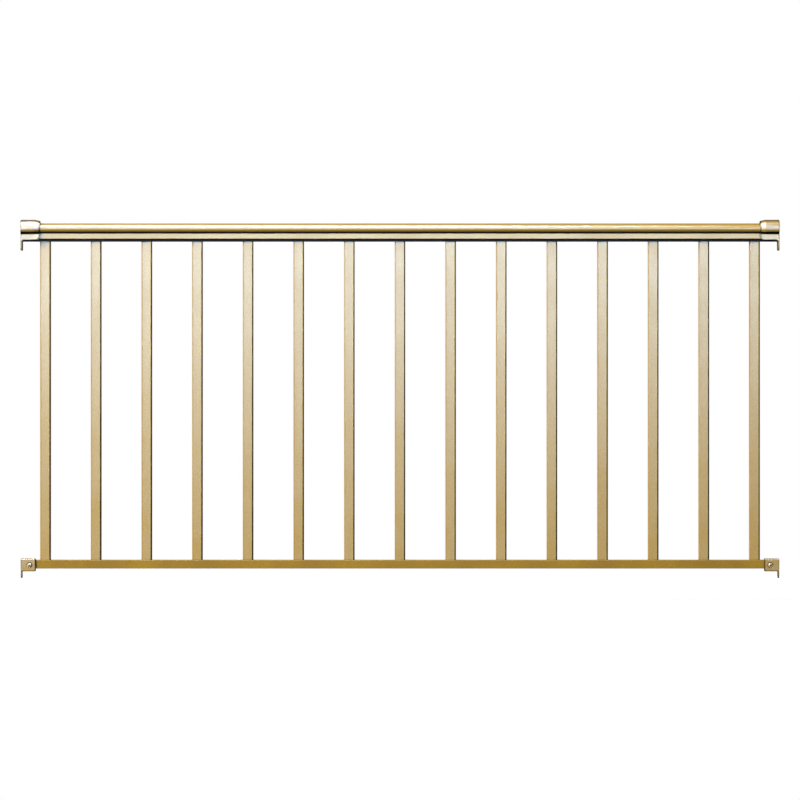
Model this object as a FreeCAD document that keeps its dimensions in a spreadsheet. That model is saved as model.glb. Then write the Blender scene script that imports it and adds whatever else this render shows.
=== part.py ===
import FreeCAD, Part
import os
from math import hypot, sqrt
import Sketcher
from FreeCAD import Rotation, Vector

# Deck railing section: a domed handrail over a punched channel, square balusters, a bottom channel, and
# four end brackets that screw to the posts.
#
# Frame: X runs along the rail from the left post's face to the right one's, the front faces -Y, +Z is up.
# The origin lies on the outer face of the left bottom bracket's flange, on the bottom channel's axis.

doc = FreeCAD.newDocument("RailingSection")

# Driving dimensions, in millimetres
SIZES = {
    # the whole section
    "section_length": 1829,
    "clear_height": 768,
    "rail_end_clearance": 1.5,
    # balusters; the end space lies between a post's face and the first baluster
    "baluster_count": 15,
    "end_space": 46.4,
    "baluster_side": 25.4,
    "baluster_wall": 1.4,
    "baluster_corner": 3.2,
    "baluster_tuck": 14,
    "punch_clearance": 0.25,
    # punched channels
    "channel_width": 32,
    "channel_height": 20.5,
    "channel_wall": 2,
    "channel_corner": 1.2,
    # handrail
    "dome_width": 60,
    "dome_height": 23.6,
    "dome_side_radius": 10.5,
    "skirt_width": 46,
    "skirt_height": 13.5,
    "rail_wall": 2,
    "slide_clearance": 0.3,
    # brackets
    "flange_thickness": 3.2,
    "flange_corner": 6,
    "post_screw_hole": 5.6,
    "seat_clearance": 0.3,
    "tab_fillet": 5,
    # top brackets; the drops are measured from the handrail's crown
    "saddle_length": 45.5,
    "saddle_wall": 4,
    "saddle_nose_length": 12,
    "saddle_nose_fall": 2.8,
    "saddle_headroom": 4.4,
    "saddle_edge_drop": 40.4,
    "saddle_mouth_round": 9,
    "top_flange_drop": 65.5,
    "top_screw_rise": 10,
    "top_screw_spacing": 32,
    # bottom brackets
    "socket_length": 34.8,
    "socket_wall": 2.5,
    "socket_room_below": 4.2,
    "socket_corner": 2,
    "bottom_tab_height": 16,
    "bottom_screw_rise": 8,
    "bottom_screw_spacing": 22,
    "rail_screw_hole": 4.6,
    "rail_screw_reach": 21.3,
    "rail_screw_seat": 13,
    "rail_screw_seat_depth": 0.6,
}

sheet = doc.addObject("Spreadsheet::Sheet", "Sizes")
for row, (alias, value) in enumerate(SIZES.items(), start=1):
    sheet.set("A%d" % row, alias)
    sheet.set("B%d" % row, str(value))
    sheet.setAlias("B%d" % row, alias)
doc.recompute()


def size(alias):
    """A driving dimension as a number, to start a sketch near its solution."""
    return float(sheet.get(alias))


# Levels and lengths that several pieces share
RAIL_INSET = "(Sizes.flange_thickness + Sizes.rail_end_clearance)"
RAIL_LENGTH = "Sizes.section_length - 2 * %s" % RAIL_INSET
FIRST_BALUSTER = "(Sizes.end_space + Sizes.baluster_side / 2)"
BALUSTER_PITCH = "(Sizes.section_length - 2 * %s) / (Sizes.baluster_count - 1)" % FIRST_BALUSTER
BOTTOM_WEB_LEVEL = "Sizes.channel_height / 2"
TOP_WEB_LEVEL = "(Sizes.channel_height / 2 + Sizes.clear_height)"
HANDRAIL_SEAT = "(%s + Sizes.channel_height)" % TOP_WEB_LEVEL
LIP_REACH = "(Sizes.channel_width / 2 + Sizes.slide_clearance)"
SIDE_CENTRE = "(Sizes.dome_width / 2 - Sizes.dome_side_radius)"
FLANGE_FOOT = "(Sizes.top_flange_drop - Sizes.dome_height)"
SOCKET_TOP = "(Sizes.channel_height / 2 + Sizes.seat_clearance + Sizes.socket_wall)"
SOCKET_BOTTOM = "(Sizes.channel_height / 2 + Sizes.socket_room_below + Sizes.socket_wall)"
SOCKET_HALF_WIDTH = "(Sizes.channel_width / 2 + Sizes.seat_clearance + Sizes.socket_wall)"

START, END, CENTRE = 1, 2, 3
ORIGIN_POINT, ORIGIN_AXIS_V = (-1, 1), -2
SAME_PLACE = 0.01


def new_body(label):
    body = doc.addObject("PartDesign::Body", label)
    body.Label = label
    return body


def new_sketch(body, name, plane, offset=None):
    """A sketch on one of the body's own planes, raised along that plane's normal by an expression."""
    sketch = body.newObject("Sketcher::SketchObject", name)
    support = [item for item in body.Origin.OriginFeatures if item.Role == plane][0]
    sketch.AttachmentSupport = [(support, "")]
    sketch.MapMode = "FlatFace"
    if offset:
        sketch.setExpression("AttachmentOffset.Base.z", offset)
    return sketch


def point(u, v):
    return Vector(u, v, 0)


def line(sketch, a, b):
    return sketch.addGeometry(Part.LineSegment(point(*a), point(*b)))


def arc(sketch, centre, a, b):
    """A counter-clockwise arc from a to b."""
    circle = Part.Circle(point(*centre), Vector(0, 0, 1), hypot(a[0] - centre[0], a[1] - centre[1]))
    return sketch.addGeometry(
        Part.ArcOfCircle(circle, circle.parameter(point(*a)), circle.parameter(point(*b)))
    )


def meet(sketch, *joins):
    """Join the ends of consecutive edges: each join is (edge, end, edge, end)."""
    for join in joins:
        sketch.addConstraint(Sketcher.Constraint("Coincident", *join))


def smooth(sketch, *joins):
    """Join the ends of consecutive edges and make them tangent there."""
    for join in joins:
        sketch.addConstraint(Sketcher.Constraint("Tangent", *join))


def upright(sketch, *edges):
    for edge in edges:
        sketch.addConstraint(Sketcher.Constraint("Vertical", edge))


def level(sketch, *edges):
    for edge in edges:
        sketch.addConstraint(Sketcher.Constraint("Horizontal", edge))


def on_middle(sketch, *points):
    """Hold points, each given as (edge, end), on the rail's middle plane."""
    for edge, end in points:
        sketch.addConstraint(Sketcher.Constraint("PointOnObject", edge, end, ORIGIN_AXIS_V))


def bind(sketch, label, expression, kind, *where):
    """Add a dimension of this kind and drive it by an expression."""
    start = sketch.evalExpression(expression)
    index = sketch.addConstraint(Sketcher.Constraint(kind, *where, float(start)))
    sketch.renameConstraint(index, label)
    sketch.setExpression("Constraints." + label, expression)


def pad(body, name, sketch, length):
    feature = body.newObject("PartDesign::Pad", name)
    feature.Profile = sketch
    feature.setExpression("Length", length)
    doc.recompute()
    return feature


def pocket(body, name, sketch, length=None, reverse=False, both_sides=False):
    """Cut a sketch into the body, to a length or right through, and make sure that it cut something."""
    before = body.Shape.Volume
    feature = body.newObject("PartDesign::Pocket", name)
    feature.Profile = sketch
    feature.Reversed = reverse
    if length:
        feature.setExpression("Length", length)
    else:
        feature.Type = "ThroughAll"
    if both_sides:
        feature.SideType = "Symmetric"
    doc.recompute()
    if not body.Shape.Volume < before:
        raise ValueError(body.Label + ": " + name + " cuts nothing")
    return feature


def mirror_whole(body, name):
    """Double the half that lies on +Y by mirroring it in the rail's middle plane."""
    feature = body.newObject("PartDesign::Mirrored", name)
    middle = [item for item in body.Origin.OriginFeatures if item.Role == "XZ_Plane"][0]
    feature.TransformMode = "Whole shape"
    feature.MirrorPlane = (middle, [""])
    feature.Refine = True
    body.Tip = feature
    doc.recompute()
    return feature


def near(a, b):
    return abs(a - b) < SAME_PLACE


def break_edges(body, name, kind, measure, amount, wanted):
    """Break the edges of the body's present shape that a test picks out, with a fillet or a chamfer."""
    base = body.Tip
    names = ["Edge%d" % (i + 1) for i, edge in enumerate(base.Shape.Edges) if wanted(edge)]
    if not names:
        raise ValueError(body.Label + ": " + name + " finds no edge")
    feature = body.newObject(kind, name)
    feature.Base = (base, names)
    feature.setExpression(measure, amount)
    doc.recompute()
    return feature


def fillet_along(body, name, radius, y, z):
    """Round the edge that runs along the rail at a place across it and a level."""

    def there(edge):
        return near(edge.CenterOfMass.y, y) and near(edge.CenterOfMass.z, z)

    break_edges(body, name, "PartDesign::Fillet", "Radius", radius, there)


def bind_square(sketch, prefix, side, bottom, right, top, left):
    """Hold the four sides of a square level and upright, half a side from the sketch's origin."""
    level(sketch, bottom, top)
    upright(sketch, right, left)
    half_side = "(%s) / 2" % side
    bind(sketch, prefix + "_right", half_side, "DistanceX", *ORIGIN_POINT, right, START)
    bind(sketch, prefix + "_left", half_side, "DistanceX", left, START, *ORIGIN_POINT)
    bind(sketch, prefix + "_top", half_side, "DistanceY", *ORIGIN_POINT, top, START)
    bind(sketch, prefix + "_bottom", half_side, "DistanceY", bottom, START, *ORIGIN_POINT)


def sharp_square(sketch, prefix, side):
    """A square centred on the sketch's origin."""
    half = float(sketch.evalExpression(side)) / 2
    bottom = line(sketch, (-half, -half), (half, -half))
    right = line(sketch, (half, -half), (half, half))
    top = line(sketch, (half, half), (-half, half))
    left = line(sketch, (-half, half), (-half, -half))
    meet(
        sketch,
        (bottom, END, right, START),
        (right, END, top, START),
        (top, END, left, START),
        (left, END, bottom, START),
    )
    bind_square(sketch, prefix, side, bottom, right, top, left)


def clipped_square(sketch, prefix, side, corner):
    """A square centred on the sketch's origin, its corners cut at 45 degrees to touch a corner radius."""
    half = float(sketch.evalExpression(side)) / 2
    reach = "(%s) / 2 - (%s) * (2 - sqrt(2))" % (side, corner)
    flat = float(sketch.evalExpression(reach))
    bottom = line(sketch, (-flat, -half), (flat, -half))
    right = line(sketch, (half, -flat), (half, flat))
    top = line(sketch, (flat, half), (-flat, half))
    left = line(sketch, (-half, flat), (-half, -flat))
    for edge, end, following, start in (
        (bottom, (flat, -half), right, (half, -flat)),
        (right, (half, flat), top, (flat, half)),
        (top, (-flat, half), left, (-half, flat)),
        (left, (-half, -flat), bottom, (-flat, -half)),
    ):
        cut = line(sketch, end, start)
        meet(sketch, (edge, END, cut, START), (cut, END, following, START))
    for name, kind, edge, first, last in (
        ("bottom", "DistanceX", bottom, START, END),
        ("right", "DistanceY", right, START, END),
        ("top", "DistanceX", top, END, START),
        ("left", "DistanceY", left, END, START),
    ):
        bind(sketch, "%s_%s_first" % (prefix, name), reach, kind, edge, first, *ORIGIN_POINT)
        bind(sketch, "%s_%s_last" % (prefix, name), reach, kind, *ORIGIN_POINT, edge, last)
    bind_square(sketch, prefix, side, bottom, right, top, left)


def rounded_square(sketch, prefix, side, corner):
    """A square with rounded corners, centred on the sketch's origin."""
    half = float(sketch.evalExpression(side)) / 2
    flat = half - float(sketch.evalExpression(corner))
    sides = [
        line(sketch, (-flat, -half), (flat, -half)),
        line(sketch, (half, -flat), (half, flat)),
        line(sketch, (flat, half), (-flat, half)),
        line(sketch, (-half, flat), (-half, -flat)),
    ]
    corners = [
        arc(sketch, (flat, -flat), (flat, -half), (half, -flat)),
        arc(sketch, (flat, flat), (half, flat), (flat, half)),
        arc(sketch, (-flat, flat), (-flat, half), (-half, flat)),
        arc(sketch, (-flat, -flat), (-half, -flat), (-flat, -half)),
    ]
    for index, turn in enumerate(corners):
        following = sides[(index + 1) % len(sides)]
        smooth(sketch, (sides[index], END, turn, START), (turn, END, following, START))
    for turn in corners[1:]:
        sketch.addConstraint(Sketcher.Constraint("Equal", corners[0], turn))
    bind(sketch, prefix + "_corner", corner, "Radius", corners[0])
    bind_square(sketch, prefix, side, *sides)


def make_baluster(number):
    """A square tube that passes through both channels' webs and stops inside them."""
    body = new_body("baluster_%02d" % number)
    section = new_sketch(body, body.Label + "_section", "XY_Plane")
    rounded_square(section, "outer", "Sizes.baluster_side", "Sizes.baluster_corner")
    sharp_square(section, "inner", "Sizes.baluster_side - 2 * Sizes.baluster_wall")
    pad(body, body.Label + "_tube", section, "Sizes.clear_height + 2 * Sizes.baluster_tuck")
    body.setExpression("Placement.Base.x", "%s + %d * %s" % (FIRST_BALUSTER, number - 1, BALUSTER_PITCH))
    body.setExpression("Placement.Base.z", "%s - Sizes.baluster_tuck" % BOTTOM_WEB_LEVEL)
    return body


def make_channel(label):
    """A U-section whose web is punched for the balusters. Its web lies on the body's XY plane, legs up."""
    body = new_body(label)
    half = size("channel_width") / 2
    high = size("channel_height")
    wall = size("channel_wall")
    turn = size("channel_corner")
    section = new_sketch(body, label + "_section", "YZ_Plane")
    web = line(section, (0, 0), (half - turn, 0))
    corner = arc(section, (half - turn, turn), (half - turn, 0), (half, turn))
    leg = line(section, (half, turn), (half, high))
    tip = line(section, (half, high), (half - wall, high))
    leg_inside = line(section, (half - wall, high), (half - wall, wall))
    web_inside = line(section, (half - wall, wall), (0, wall))
    middle = line(section, (0, wall), (0, 0))
    smooth(section, (web, END, corner, START), (corner, END, leg, START))
    meet(
        section,
        (leg, END, tip, START),
        (tip, END, leg_inside, START),
        (leg_inside, END, web_inside, START),
        (web_inside, END, middle, START),
        (middle, END, web, START),
        (web, START, *ORIGIN_POINT),
    )
    level(section, web, tip, web_inside)
    upright(section, leg, leg_inside, middle)
    bind(section, "corner", "Sizes.channel_corner", "Radius", corner)
    bind(section, "half_width", "Sizes.channel_width / 2", "DistanceX", *ORIGIN_POINT, leg, START)
    bind(section, "height", "Sizes.channel_height", "DistanceY", *ORIGIN_POINT, leg, END)
    bind(section, "web_wall", "Sizes.channel_wall", "DistanceY", middle, END, middle, START)
    bind(section, "leg_wall", "Sizes.channel_wall", "DistanceX", tip, END, tip, START)
    pad(body, label + "_extrusion", section, RAIL_LENGTH)
    mirror_whole(body, label + "_whole")

    punch = new_sketch(body, label + "_punch", "XY_Plane")
    punch.setExpression("AttachmentOffset.Base.x", "%s - %s" % (FIRST_BALUSTER, RAIL_INSET))
    clipped_square(
        punch,
        "hole",
        "Sizes.baluster_side + 2 * Sizes.punch_clearance",
        "Sizes.baluster_corner + Sizes.punch_clearance",
    )
    hole = pocket(body, label + "_hole", punch, reverse=True)
    row_of_holes = body.newObject("PartDesign::LinearPattern", label + "_holes")
    row_of_holes.Originals = [hole]
    along = [item for item in body.Origin.OriginFeatures if item.Role == "X_Axis"][0]
    row_of_holes.Direction = (along, [""])
    row_of_holes.Mode = "Spacing"
    row_of_holes.setExpression("Offset", BALUSTER_PITCH)
    row_of_holes.setExpression("Occurrences", "Sizes.baluster_count")
    body.Tip = row_of_holes
    body.setExpression("Placement.Base.x", RAIL_INSET)
    return body


def crown_touch(centre_u, centre_v, radius, crown):
    """Where a crown arc through (0, crown), centred on the axis, meets a side arc that it is tangent to.

    The two centres are the difference of the radii apart, which gives the crown's radius.
    """
    drop = crown - centre_v
    crown_radius = (centre_u**2 + drop**2 - radius**2) / (2 * (drop - radius))
    crown_centre = crown - crown_radius
    share = crown_radius / (crown_radius - radius)
    touch = (centre_u * share, crown_centre + (centre_v - crown_centre) * share)
    return (0, crown_centre), touch


def make_handrail():
    """The hollow domed rail. Its web rests on the top channel's legs, inside a skirt with turned-in lips."""
    body = new_body("handrail")
    radius = size("dome_side_radius")
    centre = (size("dome_width") / 2 - radius, radius)
    crown = size("dome_height")
    wall = size("rail_wall")
    skirt = size("skirt_width") / 2
    foot = -size("skirt_height")
    lip = size("channel_width") / 2 + size("slide_clearance")
    crown_centre, touch = crown_touch(*centre, radius, crown)
    inner_touch = crown_touch(*centre, radius - wall, crown - wall)[1]
    groove = (skirt, centre[1] - sqrt(radius**2 - (skirt - centre[0]) ** 2))

    section = new_sketch(body, "handrail_section", "YZ_Plane")
    crown_outer = arc(section, crown_centre, touch, (0, crown))
    side_outer = arc(section, centre, groove, touch)
    skirt_outer = line(section, groove, (skirt, foot))
    lip_under = line(section, (skirt, foot), (lip, foot))
    lip_edge = line(section, (lip, foot), (lip, foot + wall))
    lip_over = line(section, (lip, foot + wall), (skirt - wall, foot + wall))
    skirt_inner = line(section, (skirt - wall, foot + wall), (skirt - wall, 0))
    web_under = line(section, (skirt - wall, 0), (0, 0))
    web_middle = line(section, (0, 0), (0, wall))
    web_over = line(section, (0, wall), (centre[0], wall))
    side_inner = arc(section, centre, (centre[0], wall), inner_touch)
    crown_inner = arc(section, crown_centre, inner_touch, (0, crown - wall))
    crown_middle = line(section, (0, crown - wall), (0, crown))
    smooth(
        section,
        (crown_outer, START, side_outer, END),
        (web_over, END, side_inner, START),
        (side_inner, END, crown_inner, START),
    )
    meet(
        section,
        (side_outer, START, skirt_outer, START),
        (skirt_outer, END, lip_under, START),
        (lip_under, END, lip_edge, START),
        (lip_edge, END, lip_over, START),
        (lip_over, END, skirt_inner, START),
        (skirt_inner, END, web_under, START),
        (web_under, END, web_middle, START),
        (web_middle, END, web_over, START),
        (crown_inner, END, crown_middle, START),
        (crown_middle, END, crown_outer, END),
        (web_middle, START, *ORIGIN_POINT),
        (side_inner, CENTRE, side_outer, CENTRE),
        (crown_inner, CENTRE, crown_outer, CENTRE),
    )
    upright(section, skirt_outer, lip_edge, skirt_inner, web_middle, crown_middle)
    level(section, lip_under, lip_over, web_under, web_over)
    on_middle(section, (crown_outer, CENTRE), (crown_middle, END))
    bind(section, "dome_height", "Sizes.dome_height", "DistanceY", *ORIGIN_POINT, crown_middle, END)
    bind(section, "side_centre", SIDE_CENTRE, "DistanceX", *ORIGIN_POINT, side_outer, CENTRE)
    bind(section, "side_level", "Sizes.dome_side_radius", "DistanceY", *ORIGIN_POINT, side_outer, CENTRE)
    bind(section, "side_radius", "Sizes.dome_side_radius", "Radius", side_outer)
    bind(section, "web_wall", "Sizes.rail_wall", "DistanceY", web_middle, START, web_middle, END)
    bind(section, "skirt", "Sizes.skirt_width / 2", "DistanceX", *ORIGIN_POINT, skirt_outer, END)
    bind(section, "foot", "Sizes.skirt_height", "DistanceY", skirt_outer, END, *ORIGIN_POINT)
    bind(section, "lip_reach", LIP_REACH, "DistanceX", *ORIGIN_POINT, lip_edge, START)
    bind(section, "lip_wall", "Sizes.rail_wall", "DistanceY", lip_edge, START, lip_edge, END)
    bind(section, "skirt_wall", "Sizes.rail_wall", "DistanceX", lip_over, END, skirt_outer, END)
    pad(body, "handrail_extrusion", section, RAIL_LENGTH)
    mirror_whole(body, "handrail_whole")
    body.setExpression("Placement.Base.x", RAIL_INSET)
    body.setExpression("Placement.Base.z", HANDRAIL_SEAT)
    return body


def saddle_outline(body, name, along, offset):
    """Half of the outline that the handrail slides into: the rail's own, set off by a clearance and a wall.

    Above the widest level it is raised by the headroom. Below, the cheeks run straight down to the foot of
    the flange. The outline stands some way along from the post's face.
    """
    sketch = new_sketch(body, body.Label + name, "YZ_Plane", along)
    apart = float(sketch.evalExpression(offset))
    radius = size("dome_side_radius") + apart
    centre_u = size("dome_width") / 2 - size("dome_side_radius")
    low = size("dome_side_radius")
    high = low + size("saddle_headroom")
    crown = size("dome_height") + size("saddle_headroom") + apart
    cheek_u = size("skirt_width") / 2 + apart
    foot = size("dome_height") - size("top_flange_drop")
    crown_centre, touch = crown_touch(centre_u, high, radius, crown)
    groove = (cheek_u, low - sqrt(radius**2 - (cheek_u - centre_u) ** 2))

    crown_arc = arc(sketch, crown_centre, touch, (0, crown))
    shoulder = arc(sketch, (centre_u, high), (centre_u + radius, high), touch)
    flank = line(sketch, (centre_u + radius, low), (centre_u + radius, high))
    under = arc(sketch, (centre_u, low), groove, (centre_u + radius, low))
    cheek = line(sketch, groove, (cheek_u, foot))
    base = line(sketch, (cheek_u, foot), (0, foot))
    middle = line(sketch, (0, foot), (0, crown))
    smooth(
        sketch,
        (crown_arc, START, shoulder, END),
        (shoulder, START, flank, END),
        (flank, START, under, END),
    )
    meet(
        sketch,
        (under, START, cheek, START),
        (cheek, END, base, START),
        (base, END, middle, START),
        (middle, END, crown_arc, END),
    )
    upright(sketch, flank, cheek, middle)
    level(sketch, base)
    on_middle(sketch, (crown_arc, CENTRE), (middle, END))
    sketch.addConstraint(Sketcher.Constraint("Equal", shoulder, under))
    crown_rise = "Sizes.dome_height + Sizes.saddle_headroom + %s" % offset
    shoulder_rise = "Sizes.dome_side_radius + Sizes.saddle_headroom"
    bind(sketch, "crown", crown_rise, "DistanceY", *ORIGIN_POINT, middle, END)
    bind(sketch, "shoulder_centre", SIDE_CENTRE, "DistanceX", *ORIGIN_POINT, shoulder, CENTRE)
    bind(sketch, "shoulder_level", shoulder_rise, "DistanceY", *ORIGIN_POINT, shoulder, CENTRE)
    bind(sketch, "side_radius", "Sizes.dome_side_radius + %s" % offset, "Radius", shoulder)
    bind(sketch, "under_level", "Sizes.dome_side_radius", "DistanceY", *ORIGIN_POINT, under, CENTRE)
    bind(sketch, "cheek", "Sizes.skirt_width / 2 + %s" % offset, "DistanceX", *ORIGIN_POINT, cheek, END)
    bind(sketch, "foot", FLANGE_FOOT, "DistanceY", cheek, END, *ORIGIN_POINT)
    return sketch


def saddle_underside(body, name):
    """What is cut away below the cheeks, seen from the side: rounded into the tab and up at the mouth."""
    sketch = new_sketch(body, body.Label + name, "XZ_Plane")
    back = size("flange_thickness")
    mouth = size("saddle_length")
    edge_level = size("dome_height") - size("saddle_edge_drop")
    root = size("tab_fillet")
    lift = size("saddle_mouth_round")
    foot = size("dome_height") - size("top_flange_drop") - root
    tab = line(sketch, (back, foot), (back, edge_level - root))
    edge_start = (back + root, edge_level)
    edge_end = (mouth - lift, edge_level)
    rim = (mouth, edge_level + lift)
    root_arc = arc(sketch, (back + root, edge_level - root), edge_start, (back, edge_level - root))
    edge = line(sketch, edge_start, edge_end)
    lift_arc = arc(sketch, (mouth - lift, edge_level + lift), edge_end, rim)
    front = line(sketch, rim, (mouth, foot))
    below = line(sketch, (mouth, foot), (back, foot))
    smooth(
        sketch,
        (tab, END, root_arc, END),
        (root_arc, START, edge, START),
        (edge, END, lift_arc, START),
        (lift_arc, END, front, START),
    )
    meet(sketch, (front, END, below, START), (below, END, tab, START))
    upright(sketch, tab, front)
    level(sketch, edge, below)
    bind(sketch, "root", "Sizes.tab_fillet", "Radius", root_arc)
    bind(sketch, "lift", "Sizes.saddle_mouth_round", "Radius", lift_arc)
    bind(sketch, "back", "Sizes.flange_thickness", "DistanceX", *ORIGIN_POINT, tab, START)
    bind(sketch, "mouth", "Sizes.saddle_length", "DistanceX", *ORIGIN_POINT, front, END)
    bind(sketch, "edge", "Sizes.saddle_edge_drop - Sizes.dome_height", "DistanceY", edge, END, *ORIGIN_POINT)
    bind(sketch, "below", "%s + Sizes.tab_fillet" % FLANGE_FOOT, "DistanceY", below, END, *ORIGIN_POINT)
    return sketch


def round_hole(body, name, plane, offset, radius, along, drop, **cut):
    """A round cut: its radius, its place along the sketch and its drop below the body's origin."""
    sketch = new_sketch(body, body.Label + name, plane, offset)
    place = point(float(sketch.evalExpression(along)), -float(sketch.evalExpression(drop)))
    start = float(sketch.evalExpression(radius))
    hole = sketch.addGeometry(Part.Circle(place, Vector(0, 0, 1), start))
    bind(sketch, "radius", radius, "Radius", hole)
    bind(sketch, "along", along, "DistanceX", *ORIGIN_POINT, hole, CENTRE)
    bind(sketch, "drop", drop, "DistanceY", hole, CENTRE, *ORIGIN_POINT)
    pocket(body, body.Label + name + "_cut", sketch, **cut)


def make_top_bracket(label):
    """A domed saddle that the handrail slides into, closed by a flange that hangs down as a screw tab.

    Its outside falls to a thin nose at the mouth. It is drawn at the left post, with the handrail's seat on
    the body's XY plane.
    """
    body = new_body(label)
    outline = saddle_outline(body, "_outline", None, "(Sizes.seat_clearance + Sizes.saddle_wall)")
    pad(body, label + "_block", outline, "Sizes.saddle_length")
    mouth = size("saddle_length")
    crown = size("dome_height") + size("saddle_headroom") + size("seat_clearance") + size("saddle_wall")

    def on_rim(edge):
        at_mouth = near(edge.BoundBox.XMin, mouth) and near(edge.BoundBox.ZMax, crown)
        return at_mouth and edge.CenterOfMass.y > SAME_PLACE

    fall = "Sizes.saddle_nose_fall"
    nose = break_edges(body, label + "_nose", "PartDesign::Chamfer", "Size", fall, on_rim)
    nose.ChamferType = "Two distances"
    nose.FlipDirection = True
    nose.setExpression("Size2", "Sizes.saddle_nose_length")
    doc.recompute()
    bore = saddle_outline(body, "_bore", "Sizes.flange_thickness", "Sizes.seat_clearance")
    pocket(body, label + "_inside", bore, reverse=True)
    pocket(body, label + "_cheeks", saddle_underside(body, "_underside"), both_sides=True)
    round_hole(
        body,
        "_screw",
        "YZ_Plane",
        None,
        "Sizes.post_screw_hole / 2",
        "Sizes.top_screw_spacing / 2",
        "%s - Sizes.top_screw_rise" % FLANGE_FOOT,
        reverse=True,
    )
    cheek = size("skirt_width") / 2 + size("seat_clearance") + size("saddle_wall")
    flange_foot = size("dome_height") - size("top_flange_drop")
    fillet_along(body, label + "_tab_corner", "Sizes.flange_corner", cheek, flange_foot)
    mirror_whole(body, label + "_whole")
    return body


def half_box(body, name, offset, half_width, top_level, bottom_level):
    """The +Y half of a box's outline, with its width, top and depth below the axis."""
    sketch = new_sketch(body, body.Label + name, "YZ_Plane", offset)
    wide = float(sketch.evalExpression(half_width))
    high = float(sketch.evalExpression(top_level))
    low = -float(sketch.evalExpression(bottom_level))
    base = line(sketch, (0, low), (wide, low))
    side = line(sketch, (wide, low), (wide, high))
    lid = line(sketch, (wide, high), (0, high))
    middle = line(sketch, (0, high), (0, low))
    meet(
        sketch,
        (base, END, side, START),
        (side, END, lid, START),
        (lid, END, middle, START),
        (middle, END, base, START),
    )
    level(sketch, base, lid)
    upright(sketch, side, middle)
    on_middle(sketch, (middle, START))
    bind(sketch, "half_width", half_width, "DistanceX", *ORIGIN_POINT, side, START)
    bind(sketch, "top", top_level, "DistanceY", *ORIGIN_POINT, side, END)
    bind(sketch, "bottom", bottom_level, "DistanceY", side, START, *ORIGIN_POINT)
    return sketch


def make_bottom_bracket(label):
    """A box socket for the bottom channel's end, closed by a flange that hangs down as a screw tab.

    It is drawn at the left post, with the channel's axis on the body's X axis.
    """
    body = new_body(label)
    half = size("channel_width") / 2 + size("seat_clearance") + size("socket_wall")
    top = size("channel_height") / 2 + size("seat_clearance") + size("socket_wall")
    floor = -size("channel_height") / 2 - size("socket_room_below") - size("socket_wall")
    flange_foot = "%s + Sizes.bottom_tab_height" % SOCKET_BOTTOM

    plate = half_box(body, "_plate", None, SOCKET_HALF_WIDTH, SOCKET_TOP, flange_foot)
    pad(body, label + "_flange", plate, "Sizes.flange_thickness")
    box = half_box(body, "_box", None, SOCKET_HALF_WIDTH, SOCKET_TOP, SOCKET_BOTTOM)
    pad(body, label + "_socket", box, "Sizes.socket_length")
    fillet_along(body, label + "_tab_corner", "Sizes.flange_corner", half, floor - size("bottom_tab_height"))
    fillet_along(body, label + "_upper_edge", "Sizes.socket_corner", half, top)
    fillet_along(body, label + "_lower_edge", "Sizes.socket_corner", half, floor)
    bore = half_box(
        body,
        "_bore",
        "Sizes.flange_thickness",
        "Sizes.channel_width / 2 + Sizes.seat_clearance",
        "Sizes.channel_height / 2 + Sizes.seat_clearance",
        "Sizes.channel_height / 2 + Sizes.socket_room_below",
    )
    pocket(body, label + "_inside", bore, reverse=True)
    round_hole(
        body,
        "_screw",
        "YZ_Plane",
        None,
        "Sizes.post_screw_hole / 2",
        "Sizes.bottom_screw_spacing / 2",
        "%s + Sizes.bottom_screw_rise" % SOCKET_BOTTOM,
        reverse=True,
    )
    # A screw through each cheek holds the channel, its head in a shallow round seat
    cheek_middle = "(%s - %s) / 2" % (SOCKET_BOTTOM, SOCKET_TOP)
    round_hole(
        body,
        "_rail_screw",
        "XZ_Plane",
        None,
        "Sizes.rail_screw_hole / 2",
        "Sizes.rail_screw_reach",
        cheek_middle,
        both_sides=True,
    )
    round_hole(
        body,
        "_rail_screw_seat",
        "XZ_Plane",
        "-%s" % SOCKET_HALF_WIDTH,
        "Sizes.rail_screw_seat / 2",
        "Sizes.rail_screw_reach",
        cheek_middle,
        length="Sizes.rail_screw_seat_depth",
        reverse=True,
    )
    mirror_whole(body, label + "_whole")
    return body


def turn_to_right_post(body):
    """The right-hand bracket is the same piece turned about, with its flange on the right post's face."""
    body.Placement.Rotation = Rotation(Vector(0, 0, 1), 180)
    body.setExpression("Placement.Base.x", "Sizes.section_length")


pieces = [make_handrail()]

top_channel = make_channel("top_channel")
top_channel.setExpression("Placement.Base.z", TOP_WEB_LEVEL)
bottom_channel = make_channel("bottom_channel")
bottom_channel.Placement.Rotation = Rotation(Vector(1, 0, 0), 180)
bottom_channel.setExpression("Placement.Base.z", BOTTOM_WEB_LEVEL)
pieces += [top_channel, bottom_channel]

pieces += [make_baluster(number) for number in range(1, int(size("baluster_count")) + 1)]

for end in ("left", "right"):
    top_bracket = make_top_bracket("top_%s_bracket" % end)
    top_bracket.setExpression("Placement.Base.z", HANDRAIL_SEAT)
    bottom_bracket = make_bottom_bracket("bottom_%s_bracket" % end)
    pieces += [top_bracket, bottom_bracket]
    if end == "right":
        turn_to_right_post(top_bracket)
        turn_to_right_post(bottom_bracket)

doc.recompute()

for item in doc.Objects:
    if "Invalid" in item.State or "Error" in item.State:
        raise ValueError(item.Label + " failed to compute")
for piece in pieces:
    if piece.Shape.isNull() or not piece.Shape.isValid() or len(piece.Shape.Solids) != 1:
        raise ValueError(piece.Label + " is not one sound solid")

os.makedirs("parts", exist_ok=True)
for piece in pieces:
    piece.Shape.exportStep("parts/%s.step" % piece.Label)
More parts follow.
